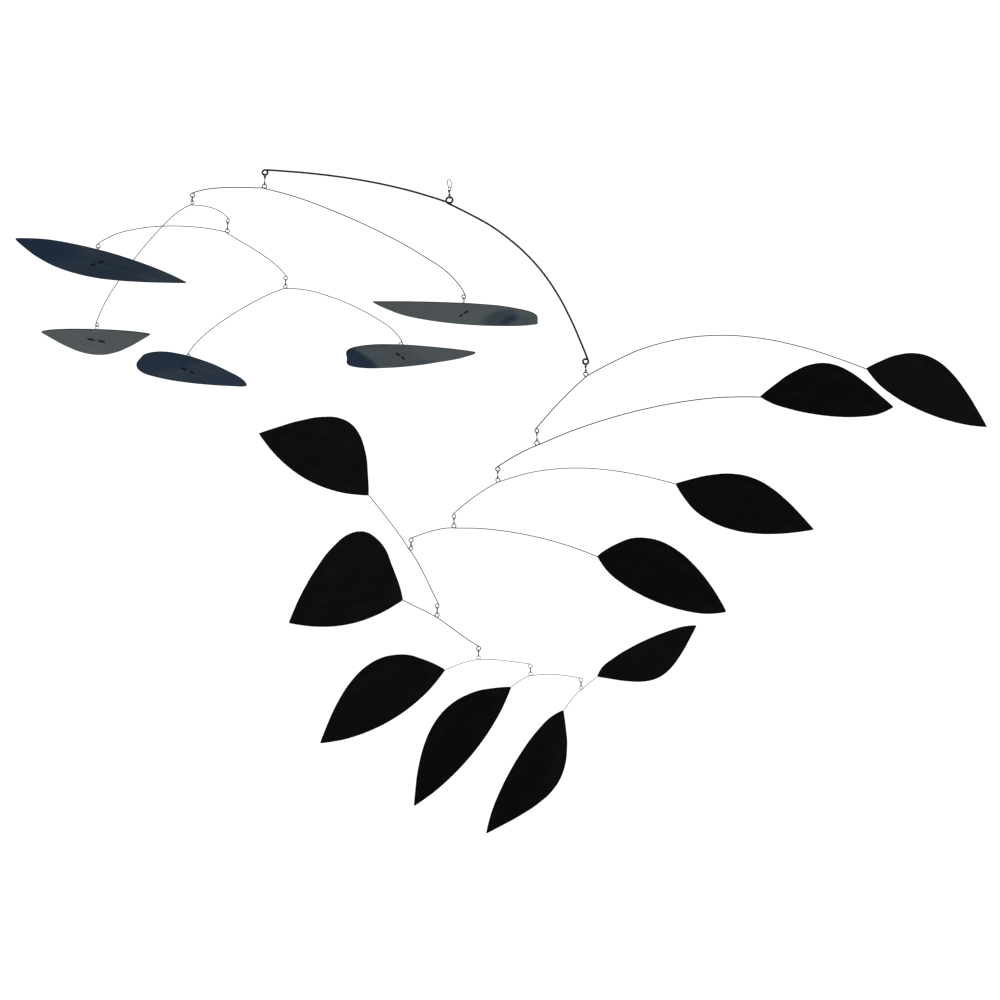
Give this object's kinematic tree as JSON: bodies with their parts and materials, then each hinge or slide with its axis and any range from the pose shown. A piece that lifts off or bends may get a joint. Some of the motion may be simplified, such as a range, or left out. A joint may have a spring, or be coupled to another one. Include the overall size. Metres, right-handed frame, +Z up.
{
  "type": "hanging mobile sculpture",
  "caption": "Hanging mobile: curved wire arms balanced one below another on small wire links, carrying upright black leaves and level smoke-dark metal blades",
  "frame": {"origin": "inside top of the hanging ring, where a ceiling hook bears", "axes": "+Z up, +X from the level blades towards the upright leaves, in the plane of the main arm, +Y away from the viewer"},
  "size_m": [1.4415, 0.556, 0.9457],
  "materials": {
    "black_rod": "satin",
    "grey_wire": "satin",
    "black_paint": "matte",
    "smoked_steel": "satin"
  },
  "bodies": {
    "hanger": {"hanging_ring": "grey_wire"},
    "main_arm_swivel": {"main_arm_link": "grey_wire"},
    "main_arm_balance": {"main_arm": "black_rod"},
    "left_arm_1_swivel": {"left_arm_1_link": "grey_wire"},
    "left_arm_1_balance": {"left_arm_1": "grey_wire"},
    "left_arm_2_swivel": {"left_arm_2_link": "grey_wire"},
    "left_arm_2_balance": {"left_arm_2": "grey_wire"},
    "blade_2_hung": {"blade_2": "smoked_steel", "blade_2_hairpin": "grey_wire"},
    "left_arm_3_swivel": {"left_arm_3_link": "grey_wire"},
    "left_arm_3_balance": {"left_arm_3": "grey_wire"},
    "blade_3_hung": {"blade_3": "smoked_steel", "blade_3_hairpin": "grey_wire"},
    "left_arm_4_swivel": {"left_arm_4_link": "grey_wire"},
    "left_arm_4_balance": {"left_arm_4": "grey_wire"},
    "blade_4_hung": {"blade_4": "smoked_steel", "blade_4_hairpin": "grey_wire"},
    "blade_5_hung": {"blade_5": "smoked_steel", "blade_5_hairpin": "grey_wire"},
    "blade_1_hung": {"blade_1": "smoked_steel", "blade_1_hairpin": "grey_wire"},
    "right_arm_1_swivel": {"right_arm_1_link": "grey_wire"},
    "right_arm_1_balance": {"right_arm_1": "grey_wire", "leaf_1": "black_paint"},
    "right_arm_2_swivel": {"right_arm_2_link": "grey_wire"},
    "right_arm_2_balance": {"right_arm_2": "grey_wire", "leaf_2": "black_paint"},
    "right_arm_3_swivel": {"right_arm_3_link": "grey_wire"},
    "right_arm_3_balance": {"right_arm_3": "grey_wire", "leaf_3": "black_paint"},
    "right_arm_4_swivel": {"right_arm_4_link": "grey_wire"},
    "right_arm_4_balance": {"right_arm_4": "grey_wire", "leaf_4": "black_paint"},
    "right_arm_5_swivel": {"right_arm_5_link": "grey_wire"},
    "right_arm_5_balance": {"right_arm_5": "grey_wire", "leaf_5": "black_paint"},
    "right_arm_6_swivel": {"right_arm_6_link": "grey_wire"},
    "right_arm_6_balance": {"right_arm_6": "grey_wire", "leaf_6": "black_paint"},
    "right_arm_7_swivel": {"right_arm_7_link": "grey_wire"},
    "right_arm_7_balance": {"right_arm_7": "grey_wire", "leaf_7": "black_paint"},
    "right_arm_8_swivel": {"right_arm_8_link": "grey_wire"},
    "right_arm_8_balance": {"right_arm_8": "grey_wire", "leaf_8": "black_paint"},
    "right_arm_9_swivel": {"right_arm_9_link": "grey_wire"},
    "right_arm_9_balance": {"right_arm_9": "grey_wire", "leaf_10": "black_paint", "leaf_9": "black_paint"}
  },
  "joints": [
    {"name": "main_arm_turn", "type": "hinge", "parent": "hanger", "child": "main_arm_swivel", "pos_m": [0, 0, -0.0058], "axis": [0, 0, 1], "range_deg": [-45, 45]},
    {"name": "main_arm_rock", "type": "hinge", "parent": "main_arm_swivel", "child": "main_arm_balance", "pos_m": [0, 0, -0.0313], "axis": [0, 1, 0], "range_deg": [-6, 6]},
    {"name": "left_arm_1_turn", "type": "hinge", "parent": "main_arm_balance", "child": "left_arm_1_swivel", "pos_m": [-0.268, 0, 0.0117], "axis": [0, 0, -1], "range_deg": [-40, 40]},
    {"name": "left_arm_1_rock", "type": "hinge", "parent": "left_arm_1_swivel", "child": "left_arm_1_balance", "pos_m": [-0.268, 0, -0.0098], "axis": [0.2756, -0.9613, 0], "range_deg": [-8, 8]},
    {"name": "left_arm_2_turn", "type": "hinge", "parent": "left_arm_1_balance", "child": "left_arm_2_swivel", "pos_m": [-0.36605, -0.02812, -0.0358], "axis": [0, 0, 1], "range_deg": [-45, 45]},
    {"name": "left_arm_2_rock", "type": "hinge", "parent": "left_arm_2_swivel", "child": "left_arm_2_balance", "pos_m": [-0.36605, -0.02812, -0.0478], "axis": [0.5, 0.866, 0], "range_deg": [-8, 8]},
    {"name": "blade_2_turn", "type": "hinge", "parent": "left_arm_2_balance", "child": "blade_2_hung", "pos_m": [-0.51414, 0.05738, -0.2008], "axis": [0, 0, -1], "range_deg": [-40, 22]},
    {"name": "left_arm_3_turn", "type": "hinge", "parent": "left_arm_2_balance", "child": "left_arm_3_swivel", "pos_m": [-0.30802, -0.06162, -0.0888], "axis": [0, 0, -1], "range_deg": [-45, 45]},
    {"name": "left_arm_3_rock", "type": "hinge", "parent": "left_arm_3_swivel", "child": "left_arm_3_balance", "pos_m": [-0.30802, -0.06162, -0.104], "axis": [0.4695, -0.8829, 0], "range_deg": [-8, 8]},
    {"name": "blade_3_turn", "type": "hinge", "parent": "left_arm_3_balance", "child": "blade_3_hung", "pos_m": [-0.46519, -0.14518, -0.16], "axis": [0, 0, 1], "range_deg": [-40, 22]},
    {"name": "left_arm_4_turn", "type": "hinge", "parent": "left_arm_3_balance", "child": "left_arm_4_swivel", "pos_m": [-0.23033, -0.0203, -0.158], "axis": [0, 0, 1], "range_deg": [-45, 45]},
    {"name": "left_arm_4_rock", "type": "hinge", "parent": "left_arm_4_swivel", "child": "left_arm_4_balance", "pos_m": [-0.23033, -0.0203, -0.1707], "axis": [0.2419, 0.9703, 0], "range_deg": [-8, 8]},
    {"name": "blade_4_turn", "type": "hinge", "parent": "left_arm_4_balance", "child": "blade_4_hung", "pos_m": [-0.37005, 0.01453, -0.2627], "axis": [0, 0, -1], "range_deg": [-35, 30]},
    {"name": "blade_5_turn", "type": "hinge", "parent": "left_arm_4_balance", "child": "blade_5_hung", "pos_m": [-0.06344, -0.06191, -0.2697], "axis": [0, 0, -1], "range_deg": [-35, 35]},
    {"name": "blade_1_turn", "type": "hinge", "parent": "left_arm_1_balance", "child": "blade_1_hung", "pos_m": [0.01942, 0.08242, -0.1488], "axis": [0, 0, 1], "range_deg": [-35, 28]},
    {"name": "right_arm_1_turn", "type": "hinge", "parent": "main_arm_balance", "child": "right_arm_1_swivel", "pos_m": [0.194, 0, -0.2753], "axis": [0, 0, -1], "range_deg": [-36, 36]},
    {"name": "right_arm_1_rock", "type": "hinge", "parent": "right_arm_1_swivel", "child": "right_arm_1_balance", "pos_m": [0.194, 0, -0.2937], "axis": [0.4384, -0.8988, 0], "range_deg": [-8, 8]},
    {"name": "right_arm_2_turn", "type": "hinge", "parent": "right_arm_1_balance", "child": "right_arm_2_swivel", "pos_m": [0.12389, -0.03419, -0.3857], "axis": [0, 0, 1], "range_deg": [-45, 45]},
    {"name": "right_arm_2_rock", "type": "hinge", "parent": "right_arm_2_swivel", "child": "right_arm_2_balance", "pos_m": [0.12389, -0.03419, -0.4029], "axis": [-0.2079, 0.9781, 0], "range_deg": [-8, 8]},
    {"name": "right_arm_3_turn", "type": "hinge", "parent": "right_arm_2_balance", "child": "right_arm_3_swivel", "pos_m": [0.0701, -0.04563, -0.4429], "axis": [0, 0, -1], "range_deg": [-45, 45]},
    {"name": "right_arm_3_rock", "type": "hinge", "parent": "right_arm_3_swivel", "child": "right_arm_3_balance", "pos_m": [0.0701, -0.04563, -0.4582], "axis": [0.4067, -0.9135, 0], "range_deg": [-8, 8]},
    {"name": "right_arm_4_turn", "type": "hinge", "parent": "right_arm_3_balance", "child": "right_arm_4_swivel", "pos_m": [0.01163, -0.07166, -0.5142], "axis": [0, 0, 1], "range_deg": [-45, 45]},
    {"name": "right_arm_4_rock", "type": "hinge", "parent": "right_arm_4_swivel", "child": "right_arm_4_balance", "pos_m": [0.01163, -0.07166, -0.5272], "axis": [-0.1392, 0.9903, 0], "range_deg": [-8, 8]},
    {"name": "right_arm_5_turn", "type": "hinge", "parent": "right_arm_4_balance", "child": "right_arm_5_swivel", "pos_m": [-0.04482, -0.07959, -0.5482], "axis": [0, 0, -1], "range_deg": [-45, 45]},
    {"name": "right_arm_5_rock", "type": "hinge", "parent": "right_arm_5_swivel", "child": "right_arm_5_balance", "pos_m": [-0.04482, -0.07959, -0.5592], "axis": [-0.4695, -0.8829, 0], "range_deg": [-8, 8]},
    {"name": "right_arm_6_turn", "type": "hinge", "parent": "right_arm_5_balance", "child": "right_arm_6_swivel", "pos_m": [-0.00861, -0.09884, -0.6392], "axis": [0, 0, 1], "range_deg": [-45, 45]},
    {"name": "right_arm_6_rock", "type": "hinge", "parent": "right_arm_6_swivel", "child": "right_arm_6_balance", "pos_m": [-0.00861, -0.09884, -0.6513], "axis": [0.309, 0.9511, 0], "range_deg": [-8, 8]},
    {"name": "right_arm_7_turn", "type": "hinge", "parent": "right_arm_6_balance", "child": "right_arm_7_swivel", "pos_m": [0.04559, -0.11645, -0.6973], "axis": [0, 0, -1], "range_deg": [-45, 45]},
    {"name": "right_arm_7_rock", "type": "hinge", "parent": "right_arm_7_swivel", "child": "right_arm_7_balance", "pos_m": [0.04559, -0.11645, -0.7089], "axis": [-0.1392, -0.9903, 0], "range_deg": [-8, 8]},
    {"name": "right_arm_8_turn", "type": "hinge", "parent": "right_arm_7_balance", "child": "right_arm_8_swivel", "pos_m": [0.11194, -0.12578, -0.7209], "axis": [0, 0, 1], "range_deg": [-45, 45]},
    {"name": "right_arm_8_rock", "type": "hinge", "parent": "right_arm_8_swivel", "child": "right_arm_8_balance", "pos_m": [0.11194, -0.12578, -0.7309], "axis": [-0.2419, 0.9703, 0], "range_deg": [-8, 8]},
    {"name": "right_arm_9_turn", "type": "hinge", "parent": "right_arm_8_balance", "child": "right_arm_9_swivel", "pos_m": [0.17695, -0.10957, -0.7369], "axis": [0, 0, -1], "range_deg": [-45, 45]},
    {"name": "right_arm_9_rock", "type": "hinge", "parent": "right_arm_9_swivel", "child": "right_arm_9_balance", "pos_m": [0.17695, -0.10957, -0.7469], "axis": [-0.5, -0.866, 0], "range_deg": [-8, 8]}
  ]
}
